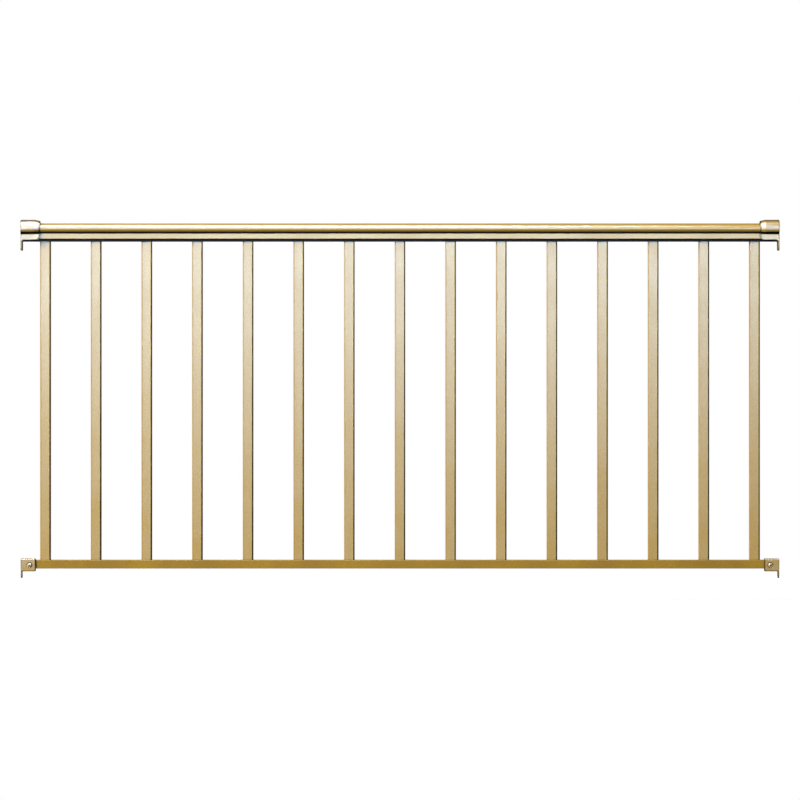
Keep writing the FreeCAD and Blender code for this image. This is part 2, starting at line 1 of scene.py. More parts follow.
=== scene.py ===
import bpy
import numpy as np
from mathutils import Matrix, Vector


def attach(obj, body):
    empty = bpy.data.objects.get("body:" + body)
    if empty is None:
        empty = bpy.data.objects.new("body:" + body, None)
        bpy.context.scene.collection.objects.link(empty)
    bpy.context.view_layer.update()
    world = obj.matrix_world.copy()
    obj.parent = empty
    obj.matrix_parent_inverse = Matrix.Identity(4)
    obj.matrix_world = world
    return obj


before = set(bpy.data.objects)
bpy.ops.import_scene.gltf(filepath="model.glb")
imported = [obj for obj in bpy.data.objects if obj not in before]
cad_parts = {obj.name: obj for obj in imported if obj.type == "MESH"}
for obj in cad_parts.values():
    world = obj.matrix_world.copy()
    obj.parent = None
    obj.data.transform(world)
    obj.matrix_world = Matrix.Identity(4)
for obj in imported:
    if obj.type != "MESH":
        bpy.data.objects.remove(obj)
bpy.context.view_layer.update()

# Looks for a deck railing section: gold powder coat on drawn aluminium rails, square balusters and cast end
# brackets, with the four rail screws added. Lengths are in metres, in the frame of the CAD model: X runs
# along the section, -Y faces the viewer, Z is up. Shade is painted into the colours in creases and joints,
# along the tubes' corners, in the groove under the dome, on the saddles' tops, along the brackets' rims and
# on the bottom channel.

MM = 0.001
SECTION_LENGTH = 1829 * MM
WHITE = (1.0, 1.0, 1.0, 1.0)


def new_group(name, inputs, outputs):
    """A shader node group with named sockets: (socket name, socket type, default) in, (name, type) out."""
    group = bpy.data.node_groups.new(name, "ShaderNodeTree")
    for label, kind, default in inputs:
        socket = group.interface.new_socket(label, in_out="INPUT", socket_type=kind)
        socket.default_value = default
    for label, kind in outputs:
        group.interface.new_socket(label, in_out="OUTPUT", socket_type=kind)
    return group, group.nodes.new("NodeGroupInput").outputs, group.nodes.new("NodeGroupOutput").inputs


def add(tree, kind, settings=None, **values):
    """Adds a node, and sets its properties from settings and its inputs from values.

    A value is a number, a colour or an output socket.
    """
    node = tree.nodes.new(kind)
    for key, value in (settings or {}).items():
        setattr(node, key, value)
    for key, value in values.items():
        put(tree, node.inputs[key.replace("_", " ")], value)
    return node


def put(tree, socket, value):
    """Links value into socket when it is an output socket, and otherwise sets it as the default."""
    if isinstance(value, bpy.types.NodeSocket):
        tree.links.new(value, socket)
    else:
        socket.default_value = value


def math_node(tree, operation, *values):
    """One Math node's result."""
    node = add(tree, "ShaderNodeMath", {"operation": operation})
    for socket, value in zip(node.inputs, values):
        put(tree, socket, value)
    return node.outputs[0]


def vector_node(tree, operation, first, second, output=0):
    """One Vector Math node's result."""
    node = add(tree, "ShaderNodeVectorMath", {"operation": operation})
    put(tree, node.inputs[0], first)
    put(tree, node.inputs[1], second)
    return node.outputs[output]


def ramp(tree, value, low, high, to_low=0.0, to_high=1.0):
    """A smooth step: value from low to high is carried to to_low ... to_high, and clamped."""
    node = add(tree, "ShaderNodeMapRange", {"interpolation_type": "SMOOTHSTEP"}, Value=value)
    for key, number in zip(("From Min", "From Max", "To Min", "To Max"), (low, high, to_low, to_high)):
        put(tree, node.inputs[key], number)
    return node.outputs["Result"]


def mix_colour(tree, factor, first, second):
    """One colour Mix node's result."""
    node = add(tree, "ShaderNodeMix", {"data_type": "RGBA"})
    put(tree, node.inputs[0], factor)
    put(tree, node.inputs[6], first)
    put(tree, node.inputs[7], second)
    return node.outputs[2]


def object_place(tree):
    """Object coordinates, which are metres in the CAD frame."""
    return add(tree, "ShaderNodeTexCoord").outputs["Object"]


def facing(tree, axis):
    """How far the surface faces along one axis of the CAD frame, from -1 to 1."""
    normal = add(tree, "ShaderNodeTexCoord").outputs["Normal"]
    return add(tree, "ShaderNodeSeparateXYZ", Vector=normal).outputs[axis]


def noise(tree, place, scale, detail):
    """Fractal noise from 0 to 1."""
    return add(tree, "ShaderNodeTexNoise", Vector=place, Scale=scale, Detail=detail).outputs["Fac"]


CAMERA_DISTANCE = 16.0
FRAME_WIDTH = 1.931
FRAME_MIDDLE = (0.9145, 0.3961)
CAMERA_RISE = 0.154
SENSOR = 36.0


def place_camera():
    """A level camera straight in front of the section, raised a little, the rise taken out by lens shift."""
    lens = bpy.data.cameras.new("photo_camera")
    lens.sensor_width = SENSOR
    lens.lens = SENSOR * CAMERA_DISTANCE / FRAME_WIDTH
    lens.shift_y = -CAMERA_RISE / FRAME_WIDTH
    camera = bpy.data.objects.new("photo_camera", lens)
    camera.location = (FRAME_MIDDLE[0], -CAMERA_DISTANCE, FRAME_MIDDLE[1] + CAMERA_RISE)
    camera.rotation_euler = (np.pi / 2, 0.0, 0.0)
    bpy.context.scene.collection.objects.link(camera)
    bpy.context.scene.camera = camera


SECTION_MIDDLE = (0.9, 0.0, 0.4)
SKY_TINT = (0.624, 0.82, 1.0)


def softbox(name, centre, aim, size, brightness, soft=True, gloss=True, tint=WHITE[:3]):
    """A rectangular studio lamp of the given surface brightness, turned from centre towards aim."""
    lamp = bpy.data.lights.new(name, "AREA")
    lamp.shape = "RECTANGLE"
    lamp.size, lamp.size_y = size
    lamp.energy = brightness * np.pi * size[0] * size[1]
    lamp.color = tint
    lamp.cycles.use_multiple_importance_sampling = soft and gloss
    box = bpy.data.objects.new(name, lamp)
    box.location = centre
    box.rotation_euler = (Vector(aim) - Vector(centre)).to_track_quat("-Z", "Y").to_euler()
    box.visible_camera = False
    box.visible_diffuse = soft
    box.visible_glossy = gloss
    bpy.context.scene.collection.objects.link(box)


def light_studio():
    """A far key from the upper left, a key for the back, a weak fill, and two panels for the gloss alone."""
    softbox("key_left", (-12.4, -8.3, 9.2), SECTION_MIDDLE, size=(6.4, 6.4), brightness=51.0)
    softbox("key_back", (0.9, 7.5, 2.7), SECTION_MIDDLE, size=(3.6, 3.6), brightness=18.0, gloss=False)
    softbox("fill_right", (7.5, 1.5, 1.8), SECTION_MIDDLE, size=(3.6, 3.6), brightness=2.6, gloss=False)
    softbox(
        "panel_front", (0.45, -2.3, 1.12), (0.45, 0.0, 0.75),
        size=(3.5, 1.3), brightness=19.5, soft=False, tint=SKY_TINT,
    )
    softbox(
        "panel_overhead", (0.50, -0.75, 2.3), (0.9, 0.0, 0.8),
        size=(2.1, 1.5), brightness=56.0, soft=False,
    )


def seen_directly(tree):
    """1 for camera, mirror and see-through rays, 0 for the rays that carry soft light."""
    path = tree.nodes.new("ShaderNodeLightPath")
    either = math_node(tree, "MAXIMUM", path.outputs["Is Camera Ray"], path.outputs["Is Glossy Ray"])
    return math_node(tree, "MAXIMUM", either, path.outputs["Is Transmission Ray"])


SURROUND_FILL = 0.035
SURROUND_SEEN = 1.0


def white_surround():
    """World: white where it is seen, a low even fill where it lights."""
    world = bpy.data.worlds.new("studio")
    world.use_nodes = True
    tree = world.node_tree
    background = tree.nodes["Background"]
    background.inputs["Color"].default_value = WHITE
    strength = ramp(tree, seen_directly(tree), 0.0, 1.0, SURROUND_FILL, SURROUND_SEEN)
    put(tree, background.inputs["Strength"], strength)
    bpy.context.scene.world = world


def new_piece(name, places, faces):
    """An object at the origin, with a mesh of the given places and faces."""
    mesh = bpy.data.meshes.new(name)
    mesh.from_pydata(places.tolist(), [], faces)
    mesh.update()
    piece = bpy.data.objects.new(name, mesh)
    bpy.context.scene.collection.objects.link(piece)
    return piece


def grid_piece(name, points):
    """A mesh over a grid of points (rows, columns, 3), one quad to each cell."""
    rows, columns = points.shape[:2]
    index = np.arange(rows * columns).reshape(rows, columns)
    quads = np.stack([index[:-1, :-1], index[1:, :-1], index[1:, 1:], index[:-1, 1:]], -1).reshape(-1, 4)
    return new_piece(name, points.reshape(-1, 3), quads.tolist())


def capped_piece(name, points):
    """A closed mesh over rings of points (rings, columns, 3).

    The columns close on themselves. The first and the last ring are each one point, met by a fan.
    """
    rings, columns = points.shape[:2]
    index = 1 + np.arange((rings - 2) * columns).reshape(rings - 2, columns)
    ahead = np.roll(index, -1, axis=1)
    quads = np.stack([index[:-1], index[1:], ahead[1:], ahead[:-1]], -1).reshape(-1, 4)
    first = np.stack([np.zeros_like(index[0]), index[0], ahead[0]], -1)
    last = np.stack([index[-1], np.full_like(index[0], index.size + 1), ahead[-1]], -1)
    places = np.concatenate([points[:1, 0], points[1:-1].reshape(-1, 3), points[-1:, 0]])
    return new_piece(name, places, quads.tolist() + first.tolist() + last.tolist())


FLOOR_LEVEL = -0.09
FLOOR_RADIUS = 3.2
FLOOR_RINGS = 9
FLOOR_SPOKES = 49
FADE_FROM = 0.45 * FLOOR_RADIUS
FADE_TO = 0.97 * FLOOR_RADIUS
FLOOR_LIGHTING = (0.08, 0.08, 0.08, 1.0)
FLOOR_SEEN = (0.20, 0.20, 0.20, 1.0)
FLOOR_GLOW = 0.83


def floor_disc():
    """Polar grid: rings of growing radius round the section's middle, all at floor level."""
    rings = np.linspace(0.0, FLOOR_RADIUS, FLOOR_RINGS)
    spokes = np.linspace(0.0, 2 * np.pi, FLOOR_SPOKES)
    radius, turn = np.meshgrid(rings, spokes, indexing="ij")
    along = SECTION_LENGTH / 2 + radius * np.cos(turn)
    level = np.full_like(radius, FLOOR_LEVEL)
    return grid_piece("floor", np.stack([along, radius * np.sin(turn), level], -1))


def floor_white():
    """White floor, clear from below, that fades into the surround at its rim and keeps a faint shadow."""
    material = bpy.data.materials.new("floor_white")
    material.use_nodes = True
    tree = material.node_tree
    tree.nodes.clear()
    middle = (SECTION_LENGTH / 2, 0.0, FLOOR_LEVEL)
    reach = vector_node(tree, "DISTANCE", object_place(tree), middle, "Value")
    fade = ramp(tree, reach, FADE_FROM, FADE_TO)
    fade = math_node(tree, "MAXIMUM", fade, add(tree, "ShaderNodeNewGeometry").outputs["Backfacing"])
    seen = seen_directly(tree)
    cloth = add(tree, "ShaderNodeBsdfDiffuse", Color=mix_colour(tree, seen, FLOOR_LIGHTING, FLOOR_SEEN))
    glow = add(tree, "ShaderNodeEmission", Color=WHITE, Strength=ramp(tree, seen, 0.0, 1.0, 0.0, FLOOR_GLOW))
    lit = tree.nodes.new("ShaderNodeAddShader")
    tree.links.new(cloth.outputs[0], lit.inputs[0])
    tree.links.new(glow.outputs[0], lit.inputs[1])
    clear = tree.nodes.new("ShaderNodeBsdfTransparent")
    blend = tree.nodes.new("ShaderNodeMixShader")
    tree.links.new(fade, blend.inputs[0])
    tree.links.new(lit.outputs[0], blend.inputs[1])
    tree.links.new(clear.outputs[0], blend.inputs[2])
    out = tree.nodes.new("ShaderNodeOutputMaterial")
    tree.links.new(blend.outputs[0], out.inputs["Surface"])
    return material


FLAG_BLACK = (0.004, 0.004, 0.004, 1.0)
FLAG_GRID = (8, 4)
# Each card's corner, its side and its rise.
FLAGS = {
    "flag_right": ((2.6, -1.5, FLOOR_LEVEL), (0.0, 3.5, 0.0), (0.0, 0.0, 2.5)),
    "flag_back": ((2.6, 2.0, FLOOR_LEVEL), (-3.8, 1.0, 0.0), (0.0, 0.0, 3.7)),
    "flag_below": ((-1.2, -2.4, FLOOR_LEVEL + 5 * MM), (3.8, 0.0, 0.0), (0.0, 3.6, 0.0)),
}


def flag_black():
    """Black cloth for the cards that darken a reflection."""
    material = bpy.data.materials.new("flag_black")
    material.use_nodes = True
    cloth = material.node_tree.nodes["Principled BSDF"]
    cloth.inputs["Base Color"].default_value = FLAG_BLACK
    cloth.inputs["Roughness"].default_value = 1.0
    cloth.inputs["Specular IOR Level"].default_value = 0.0
    return material


def dark_flag(name, corner, side, rise, cloth):
    """A flat card, seen by the gloss alone: corner + u side + v rise, for u and v from 0 to 1."""
    u, v = np.meshgrid(*(np.linspace(0.0, 1.0, count) for count in FLAG_GRID), indexing="ij")
    card = grid_piece(name, np.array(corner) + u[..., None] * np.array(side) + v[..., None] * np.array(rise))
    card.visible_camera = False
    card.visible_diffuse = False
    card.visible_shadow = False
    card.data.materials.append(cloth)


CLOUD_DETAIL = 4.0
CLOUD_RAMP = (0.35, 0.65)
CLOUD_DULLING = 0.08
GRAINS_PER_METRE = 330.0
GRAIN_DETAIL = 3.0
GRAIN_RAMP = (0.38, 0.62)
GRAIN_BROWN = (0.22, 0.12, 0.01, 1.0)
FLAKES_PER_METRE = 2600.0
FLAKE_RAMP = (0.7, 1.0)
FLAKE_GOLD = (1.0, 0.86, 0.56, 1.0)
PEEL_DETAIL = 2.0
SOME_GOLD = (0.5, 0.3, 0.05, 1.0)


def make_sprayed_coat():
    """Powder coat: clouds of thinner cover, sandy grain, metal flakes painted paler in single cells as a
    glint, peel as relief.
    """
    group, given, out = new_group(
        "sprayed_coat",
        [
            ("Full Colour", "NodeSocketColor", SOME_GOLD),
            ("Thin Colour", "NodeSocketColor", SOME_GOLD),
            ("Cloud Scale", "NodeSocketFloat", 8.0),
            ("Cloud Amount", "NodeSocketFloat", 0.5),
            ("Grain", "NodeSocketFloat", 0.2),
            ("Flake", "NodeSocketFloat", 0.2),
            ("Roughness", "NodeSocketFloat", 0.35),
            ("Peel Scale", "NodeSocketFloat", 800.0),
        ],
        [("Colour", "NodeSocketColor"), ("Roughness", "NodeSocketFloat"), ("Relief", "NodeSocketFloat")],
    )
    place = object_place(group)
    cloud = ramp(group, noise(group, place, given["Cloud Scale"], CLOUD_DETAIL), *CLOUD_RAMP)
    cover = math_node(group, "MULTIPLY", cloud, given["Cloud Amount"])
    paint = mix_colour(group, cover, given["Full Colour"], given["Thin Colour"])
    sand = ramp(group, noise(group, place, GRAINS_PER_METRE, GRAIN_DETAIL), *GRAIN_RAMP)
    pit = math_node(group, "MULTIPLY", sand, given["Grain"])
    paint = mix_colour(group, pit, paint, GRAIN_BROWN)
    # Paler flakes of the coat; their sparkle is painted into the colour as a glint.
    cell = add(group, "ShaderNodeTexVoronoi", Vector=place, Scale=FLAKES_PER_METRE).outputs["Color"]
    glint = ramp(group, add(group, "ShaderNodeSeparateColor", Color=cell).outputs["Red"], *FLAKE_RAMP)
    flake = math_node(group, "MULTIPLY", glint, given["Flake"])
    put(group, out["Colour"], mix_colour(group, flake, paint, FLAKE_GOLD))
    dull = math_node(group, "MULTIPLY", math_node(group, "SUBTRACT", cloud, 0.5), CLOUD_DULLING)
    put(group, out["Roughness"], math_node(group, "ADD", given["Roughness"], dull))
    put(group, out["Relief"], noise(group, place, given["Peel Scale"], PEEL_DETAIL))
    return group


EDGE_SAMPLES = 6
EDGE_REACH = 2.2
LEAN_RAMP = (0.004, 0.05)
BREAKS_PER_METRE = 140.0
BREAK_DETAIL = 3.0
BREAK_RAMP = (0.35, 0.6, 0.55, 1.0)


def make_edge_wear_and_shade():
    """Outer edges: rounded in the shading, and given the edge colour in a broken line.

    The edge colour reaches to where a normal averaged over EDGE_REACH radii leans away from the face's own.
    A lighter edge colour is paint rubbed thin; a darker one is painted shade along the rims.
    """
    group, given, out = new_group(
        "edge_wear_and_painted_shade",
        [
            ("Colour", "NodeSocketColor", SOME_GOLD),
            ("Edge Colour", "NodeSocketColor", SOME_GOLD),
            ("Radius", "NodeSocketFloat", 1.0 * MM),
            ("Wear", "NodeSocketFloat", 0.5),
        ],
        [("Colour", "NodeSocketColor"), ("Edge", "NodeSocketFloat"), ("Normal", "NodeSocketVector")],
    )
    sampling = {"samples": EDGE_SAMPLES}
    rounded = add(group, "ShaderNodeBevel", sampling, Radius=given["Radius"]).outputs[0]
    reach = math_node(group, "MULTIPLY", given["Radius"], EDGE_REACH)
    spread = add(group, "ShaderNodeBevel", sampling, Radius=reach).outputs[0]
    face = add(group, "ShaderNodeNewGeometry").outputs["Normal"]
    along = vector_node(group, "DOT_PRODUCT", spread, face, "Value")
    lean = ramp(group, math_node(group, "SUBTRACT", 1.0, along), *LEAN_RAMP)
    broken = ramp(group, noise(group, object_place(group), BREAKS_PER_METRE, BREAK_DETAIL), *BREAK_RAMP)
    # Edge mask: paint rubbed thin where the edge colour is lighter, painted shade where it is darker.
    thin = math_node(group, "MULTIPLY", math_node(group, "MULTIPLY", lean, broken), given["Wear"])
    thin = math_node(group, "MINIMUM", thin, 1.0)
    put(group, out["Colour"], mix_colour(group, thin, given["Colour"], given["Edge Colour"]))
    put(group, out["Edge"], thin)
    put(group, out["Normal"], rounded)
    return group


ALONG_X = (4.0, 900.0, 900.0)
ALONG_Z = (900.0, 900.0, 4.0)
DIE_DETAIL = 2.0


def make_die_lines():
    """Fine lines that an extrusion die leaves: noise drawn out along the length of the piece."""
    group, given, out = new_group(
        "die_lines",
        [("Stretch", "NodeSocketVector", ALONG_X)],
        [("Lines", "NodeSocketFloat")],
    )
    drawn = vector_node(group, "MULTIPLY", object_place(group), given["Stretch"])
    put(group, out["Lines"], noise(group, drawn, 1.0, DIE_DETAIL))
    return group


# Near-black of the painted shade in creases and joints.
CREASE_SHADE_BLACK = (0.012, 0.008, 0.004, 1.0)
CREASE_SHADE_SAMPLES = 8
CLOSED_RAMP = (0.05, 0.4)
PATCHES_PER_METRE = 90.0
PATCH_DETAIL = 3.0
PATCH_RAMP = (0.3, 0.7, 0.75, 1.0)


def make_crease_shade():
    """Painted shade in grooves and joints: the colour goes near-black where nearby surfaces close in within
    the reach, unevenly.
    """
    group, given, out = new_group(
        "painted_crease_shade",
        [
            ("Colour", "NodeSocketColor", SOME_GOLD),
            ("Reach", "NodeSocketFloat", 6.0 * MM),
            ("Amount", "NodeSocketFloat", 0.8),
        ],
        [("Colour", "NodeSocketColor")],
    )
    sampling = {"samples": CREASE_SHADE_SAMPLES}
    open_sky = add(group, "ShaderNodeAmbientOcclusion", sampling, Distance=given["Reach"]).outputs["AO"]
    closed = ramp(group, math_node(group, "SUBTRACT", 1.0, open_sky), *CLOSED_RAMP)
    patches = noise(group, object_place(group), PATCHES_PER_METRE, PATCH_DETAIL)
    uneven = ramp(group, patches, *PATCH_RAMP)
    crease_mask = math_node(group, "MULTIPLY", math_node(group, "MULTIPLY", closed, uneven), given["Amount"])
    put(group, out["Colour"], mix_colour(group, crease_mask, given["Colour"], CREASE_SHADE_BLACK))
    return group


FIRST_TUBE = 59.1 * MM
HALF_PITCH = 61.1 * MM
CORNER_RAMP = (8.7 * MM, 9.7 * MM)
ROUNDING_RAMP = (10.3 * MM, 11.3 * MM)
# Near-black of the painted shade on the tubes' +X corners.
SHADE_SIDE_BROWN = (0.026, 0.016, 0.007, 1.0)


def make_tube_corner_shade():
    """Lines along a square tube's corners, for a row of tubes at an even pitch along X.

    A point's place along the row is wrapped to its own tube's axis. A corner is where both that place and
    the distance across the row near half the tube's side, and the lines end within its rounding. The corners
    on -X are painted a deeper gold and the corners on +X, the side away from the key, near-black: painted
    shade.
    """
    group, given, out = new_group(
        "painted_tube_corner_shade",
        [("Colour", "NodeSocketColor", SOME_GOLD), ("Corner Colour", "NodeSocketColor", SOME_GOLD)],
        [("Colour", "NodeSocketColor"), ("Shade", "NodeSocketFloat")],
    )
    place = add(group, "ShaderNodeSeparateXYZ", Vector=object_place(group)).outputs
    along = math_node(group, "SUBTRACT", place["X"], FIRST_TUBE)
    along = math_node(group, "WRAP", along, HALF_PITCH, -HALF_PITCH)
    back = math_node(group, "MULTIPLY", along, -1.0)
    across = ramp(group, math_node(group, "ABSOLUTE", place["Y"]), *ROUNDING_RAMP)
    lit_corner_shade = math_node(group, "MULTIPLY", ramp(group, back, *CORNER_RAMP), across)
    shade_mask = math_node(group, "MULTIPLY", ramp(group, along, *CORNER_RAMP), across)
    colour = mix_colour(group, lit_corner_shade, given["Colour"], given["Corner Colour"])
    put(group, out["Colour"], mix_colour(group, shade_mask, colour, SHADE_SIDE_BROWN))
    put(group, out["Shade"], shade_mask)
    return group


RAIL_GROOVE = (797.0 * MM, 801.5 * MM)
SADDLE_GROOVE = (795.6 * MM, 801.8 * MM)
# Near-black of the painted shade in the groove under a dome.
GROOVE_SHADE_BLACK = (0.003, 0.0025, 0.002, 1.0)
GROOVE_BLUR = 0.35 * MM
GROOVE_FACING = (0.1, 0.3)


def make_groove_shade():
    """Painted shade in the groove under a dome: a near-black soft band between two heights, facing front or
    back.
    """
    group, given, out = new_group(
        "painted_groove_shade",
        [
            ("Colour", "NodeSocketColor", SOME_GOLD),
            ("From", "NodeSocketFloat", RAIL_GROOVE[0]),
            ("To", "NodeSocketFloat", RAIL_GROOVE[1]),
        ],
        [("Colour", "NodeSocketColor"), ("Shade", "NodeSocketFloat")],
    )
    level = add(group, "ShaderNodeSeparateXYZ", Vector=object_place(group)).outputs["Z"]
    above = ramp(group, math_node(group, "SUBTRACT", level, given["From"]), -GROOVE_BLUR, GROOVE_BLUR)
    below = ramp(group, math_node(group, "SUBTRACT", given["To"], level), -GROOVE_BLUR, GROOVE_BLUR)
    sideways = ramp(group, math_node(group, "ABSOLUTE", facing(group, "Y")), *GROOVE_FACING)
    shade_mask = math_node(group, "MULTIPLY", math_node(group, "MULTIPLY", above, below), sideways)
    put(group, out["Colour"], mix_colour(group, shade_mask, given["Colour"], GROOVE_SHADE_BLACK))
    put(group, out["Shade"], shade_mask)
    return group


SPRAYED_COAT = make_sprayed_coat()
EDGE_WEAR_AND_SHADE = make_edge_wear_and_shade()
DIE_LINES = make_die_lines()
CREASE_SHADE_GROUP = make_crease_shade()
TUBE_CORNER_SHADE = make_tube_corner_shade()
GROOVE_SHADE_GROUP = make_groove_shade()
CROWN_RAMP = (0.78, 0.98)


def place_group(tree, group, **values):
    """Places a shared effect in a material with its own values, and gives its outputs."""
    return add(tree, "ShaderNodeGroup", {"node_tree": group}, **values).outputs


def coated_metal(
    name, full, thin, *, roughness, gloss, clouds, grain, flake, peel, edge, crease_shade,
    edge_metal=0.0, drawn=None, corner=None, crown_shade=None, groove=None,
):
    """Powder coat over metal, in a full and a thin colour.

    clouds is (patches to a metre, strength), peel (bumps to a metre, relief), edge (colour, radius,
    strength) of the edge colour, and crease_shade (reach, strength) of the painted shade in creases and
    joints.
    edge_metal is how far the edges turn metallic: metal showing through on the screws, and painted shade
    under the brackets' near-black rims, so that their sheen goes dark too. drawn is the stretch of the die
    lines on an extrusion, corner the deeper gold of the painted shade on the tubes' -X corners, crown_shade
    the colour of the painted shade on an upward-facing top, and groove the heights of the near-black painted
    shade in the groove under a dome.
    """
    material = bpy.data.materials.new(name)
    material.use_nodes = True
    tree = material.node_tree
    coat = place_group(
        tree,
        SPRAYED_COAT,
        Full_Colour=(*full, 1.0),
        Thin_Colour=(*thin, 1.0),
        Cloud_Scale=clouds[0],
        Cloud_Amount=clouds[1],
        Grain=grain,
        Flake=flake,
        Roughness=roughness,
        Peel_Scale=peel[0],
    )
    edges = place_group(
        tree, EDGE_WEAR_AND_SHADE, Colour=coat["Colour"], Edge_Colour=(*edge[0], 1.0), Radius=edge[1], Wear=edge[2]
    )
    colour = edges["Colour"]
    metallic_masks = []
    # Edges turn metallic: metal showing through on the screws, and painted shade under the brackets'
    # near-black rims, so their sheen goes dark too.
    if edge_metal:
        metallic_masks.append(math_node(tree, "MULTIPLY", edges["Edge"], edge_metal))
    # Painted shade along the tubes' corners; metal is raised under the near-black so its sheen goes dark
    # too.
    if corner:
        tube = place_group(tree, TUBE_CORNER_SHADE, Colour=colour, Corner_Colour=(*corner, 1.0))
        colour = tube["Colour"]
        metallic_masks.append(tube["Shade"])
    # Painted shade: the colour darkens in creases and joints, where nearby surfaces close in.
    colour = place_group(tree, CREASE_SHADE_GROUP, Colour=colour, Reach=crease_shade[0], Amount=crease_shade[1])["Colour"]
    # Painted shade: a near-black band in the groove under the dome; metal is raised there so its sheen goes
    # dark too.
    if groove:
        line = place_group(tree, GROOVE_SHADE_GROUP, Colour=colour, From=groove[0], To=groove[1])
        colour = line["Colour"]
        metallic_masks.append(line["Shade"])
    # Painted shade: the colour darkens to brown towards the upward-facing top.
    if crown_shade:
        top_shade = ramp(tree, facing(tree, "Z"), *CROWN_RAMP)
        colour = mix_colour(tree, top_shade, colour, (*crown_shade, 1.0))
    height = coat["Relief"]
    if drawn:
        height = math_node(tree, "ADD", height, place_group(tree, DIE_LINES, Stretch=drawn)["Lines"])
    bumps = add(
        tree, "ShaderNodeBump", Strength=1.0, Distance=peel[1], Height=height, Normal=edges["Normal"]
    )
    paint = tree.nodes["Principled BSDF"]
    put(tree, paint.inputs["Base Color"], colour)
    # Metallic rises under the near-black painted shade, so the sheen goes dark there too, and where metal
    # shows through on the screws' edges.
    if metallic_masks:
        metallic = metallic_masks[0]
        for mask in metallic_masks[1:]:
            metallic = math_node(tree, "MAXIMUM", metallic, mask)
        put(tree, paint.inputs["Metallic"], metallic)
    put(tree, paint.inputs["Roughness"], coat["Roughness"])
    put(tree, paint.inputs["Normal"], bumps.outputs["Normal"])
    paint.inputs["Specular IOR Level"].default_value = gloss
    return material


GOLD = (0.47, 0.29, 0.030)
THIN_GOLD = (0.42, 0.25, 0.026)
EDGE_GOLD = (0.60, 0.44, 0.14)
# Deeper gold of the painted shade on the tubes' -X corners.
CORNER_SHADE_GOLD = (0.30, 0.175, 0.018)
REVEAL_BLACK = (0.009, 0.008, 0.008)
THIN_REVEAL_BLACK = (0.014, 0.013, 0.012)
EDGE_BLACK = (0.03, 0.028, 0.025)
# The bottom channel's gold is a darker, deeper copy of the handrail's GOLD, painted shade for the lower
# rail; its edges are darker still, painted shade along them.
CHANNEL_GOLD = (0.41, 0.245, 0.016)
THIN_CHANNEL_GOLD = (0.33, 0.19, 0.012)
EDGE_CHANNEL_SHADE_GOLD = (0.25, 0.15, 0.010)
BRACKET_GOLD = (0.42, 0.26, 0.028)
THIN_BRACKET_GOLD = (0.34, 0.20, 0.020)
# Near-black of the painted shade along the brackets' rims.
RIM_SHADE_BROWN = (0.03, 0.018, 0.006)
# Brown of the painted shade on the saddles' upward-facing tops.
CROWN_SHADE_BROWN = (0.15, 0.085, 0.015)
SCREW_GOLD = (0.58, 0.41, 0.16)
THIN_SCREW_GOLD = (0.46, 0.31, 0.10)
EDGE_SCREW_GOLD = (0.70, 0.52, 0.24)
FINE_PEEL = (800.0, 0.006 * MM)
CAST_PEEL = (420.0, 0.02 * MM)
SCREW_PEEL = (900.0, 0.004 * MM)

finishes = {
    "handrail": coated_metal(
        "handrail_gold", GOLD, THIN_GOLD,
        roughness=0.33, gloss=0.38, clouds=(8.0, 0.6), grain=0.10, flake=0.05, peel=FINE_PEEL,
        edge=(EDGE_GOLD, 0.8 * MM, 0.4), crease_shade=(11 * MM, 1.0), drawn=ALONG_X, groove=RAIL_GROOVE,
    ),
    "baluster": coated_metal(
        "baluster_gold", GOLD, THIN_GOLD,
        roughness=0.34, gloss=0.5, clouds=(11.0, 0.35), grain=0.26, flake=0.05, peel=FINE_PEEL,
        edge=(EDGE_GOLD, 0.6 * MM, 0.2), crease_shade=(5 * MM, 0.5), drawn=ALONG_Z, corner=CORNER_SHADE_GOLD,
    ),
    "top_channel": coated_metal(
        "reveal_black", REVEAL_BLACK, THIN_REVEAL_BLACK,
        roughness=0.6, gloss=0.05, clouds=(9.0, 1.0), grain=0.0, flake=0.0, peel=FINE_PEEL,
        edge=(EDGE_BLACK, 0.8 * MM, 0.5), crease_shade=(5 * MM, 0.5), drawn=ALONG_X,
    ),
    "bottom_channel": coated_metal(
        "channel_gold", CHANNEL_GOLD, THIN_CHANNEL_GOLD,
        roughness=0.40, gloss=0.08, clouds=(8.0, 1.0), grain=0.28, flake=0.03, peel=FINE_PEEL,
        edge=(EDGE_CHANNEL_SHADE_GOLD, 0.9 * MM, 0.7), crease_shade=(6 * MM, 1.0), drawn=ALONG_X,
    ),
    "saddle": coated_metal(
        "saddle_gold", BRACKET_GOLD, THIN_BRACKET_GOLD,
        roughness=0.32, gloss=0.62, clouds=(40.0, 0.7), grain=0.2, flake=0.05, peel=CAST_PEEL,
        edge=(RIM_SHADE_BROWN, 2.0 * MM, 2.2), crease_shade=(10 * MM, 1.0), edge_metal=1.0, crown_shade=CROWN_SHADE_BROWN,
        groove=SADDLE_GROOVE,
    ),
    "bracket": coated_metal(
        "bracket_gold", BRACKET_GOLD, THIN_BRACKET_GOLD,
        roughness=0.32, gloss=0.8, clouds=(40.0, 0.7), grain=0.2, flake=0.05, peel=CAST_PEEL,
        edge=(RIM_SHADE_BROWN, 1.4 * MM, 2.0), crease_shade=(6 * MM, 1.0), edge_metal=1.0,
    ),
    "screw": coated_metal(
        "screw_gold", SCREW_GOLD, THIN_SCREW_GOLD,
        roughness=0.30, gloss=0.6, clouds=(180.0, 0.6), grain=0.0, flake=0.05, peel=SCREW_PEEL,
        edge=(EDGE_SCREW_GOLD, 0.25 * MM, 0.8), crease_shade=(1.5 * MM, 1.0), edge_metal=0.6,
    ),
}


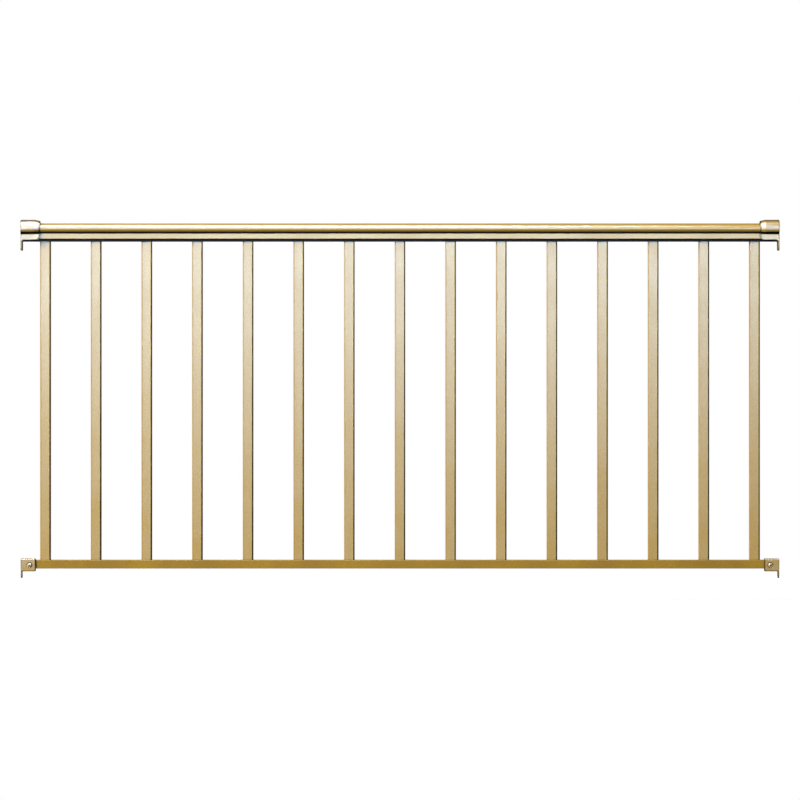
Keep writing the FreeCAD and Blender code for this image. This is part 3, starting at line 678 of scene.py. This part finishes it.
def finish_of(name):
    """The finish of a CAD node, from its name."""
    if name.startswith("baluster"):
        return finishes["baluster"]
    if name.endswith("_bracket"):
        return finishes["saddle" if name.startswith("top_") else "bracket"]
    return finishes[name]


SCREW_SEAT = 18.2 * MM
SCREW_LEVEL = -1.95 * MM
SCREW_REACH = 21.3 * MM
HEAD_RADIUS = 5.2 * MM
HEAD_EDGE = 0.4 * MM
HEAD_HEIGHT = 2.6 * MM
SHANK_RADIUS = 2.2 * MM
SHANK_LENGTH = 2.2 * MM
RECESS_DEPTH = 1.5 * MM
RECESS_ARM = 2.9 * MM
RECESS_HALF_WIDTH = 0.62 * MM
RECESS_SLOPE = 0.25 * MM
DOME_STEPS = 41
TURN_STEPS = 96
SHARP_ANGLE = np.radians(35.0)
FRONT, BACK = -1, 1
# Each screw's place along the section, its side and the turn of its cross in radians.
SCREWS = {
    "rail_screw_front_left": (SCREW_REACH, FRONT, 0.5),
    "rail_screw_front_right": (SECTION_LENGTH - SCREW_REACH, FRONT, 1.1),
    "rail_screw_back_left": (SCREW_REACH, BACK, 0.2),
    "rail_screw_back_right": (SECTION_LENGTH - SCREW_REACH, BACK, 0.8),
}


def step_down(value, edge):
    """1 below the edge, 0 above it, with a straight slope of the recess wall's width between."""
    return np.clip((edge - value) / RECESS_SLOPE + 0.5, 0.0, 1.0)


def rail_screw(name, along, side, turn):
    """A domed screw head with a cross recess, turned about the screw's axis.

    Across the dome the radius is R sin a and the height E + (H - E) cos a, for a from 0 to a quarter turn.
    From its rim the profile drops to the seat, runs in to the shank and down it to the end. The recess
    lowers the height wherever a point lies within half a width of either arm's line and within the arm's
    length.
    """
    lift = np.linspace(0.0, np.pi / 2, DOME_STEPS)
    radius = np.concatenate([HEAD_RADIUS * np.sin(lift), [HEAD_RADIUS, SHANK_RADIUS, SHANK_RADIUS, 0.0]])
    dome = HEAD_EDGE + (HEAD_HEIGHT - HEAD_EDGE) * np.cos(lift)
    height = np.concatenate([dome, [0.0, 0.0, -SHANK_LENGTH, -SHANK_LENGTH]])
    around = -side * np.linspace(0.0, 2 * np.pi, TURN_STEPS, endpoint=False)
    across = radius[:, None] * np.cos(around)
    up = radius[:, None] * np.sin(around)
    first = np.abs(across * np.cos(turn) + up * np.sin(turn))
    second = np.abs(up * np.cos(turn) - across * np.sin(turn))
    arm_one = step_down(first, RECESS_ARM) * step_down(second, RECESS_HALF_WIDTH)
    arm_two = step_down(second, RECESS_ARM) * step_down(first, RECESS_HALF_WIDTH)
    on_dome = (np.arange(radius.size) < lift.size)[:, None]
    stand = height[:, None] - RECESS_DEPTH * np.maximum(arm_one, arm_two) * on_dome
    points = np.stack([along + across, side * (SCREW_SEAT + stand), SCREW_LEVEL + up], -1)
    piece = capped_piece(name, points)
    piece.data.polygons.foreach_set("use_smooth", np.ones(len(piece.data.polygons), bool))
    piece.data.set_sharp_from_angle(angle=SHARP_ANGLE)
    piece.data.materials.append(finishes["screw"])
    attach(piece, "root")


bpy.context.scene.view_settings.view_transform = "Standard"
place_camera()
light_studio()
white_surround()
floor = floor_disc()
floor.data.materials.append(floor_white())
flag_cloth = flag_black()
for name, (corner, side, rise) in FLAGS.items():
    dark_flag(name, corner, side, rise, flag_cloth)

for name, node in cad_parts.items():
    node.data.materials.clear()
    node.data.materials.append(finish_of(name))
for name, (along, side, turn) in SCREWS.items():
    rail_screw(name, along, side, turn)
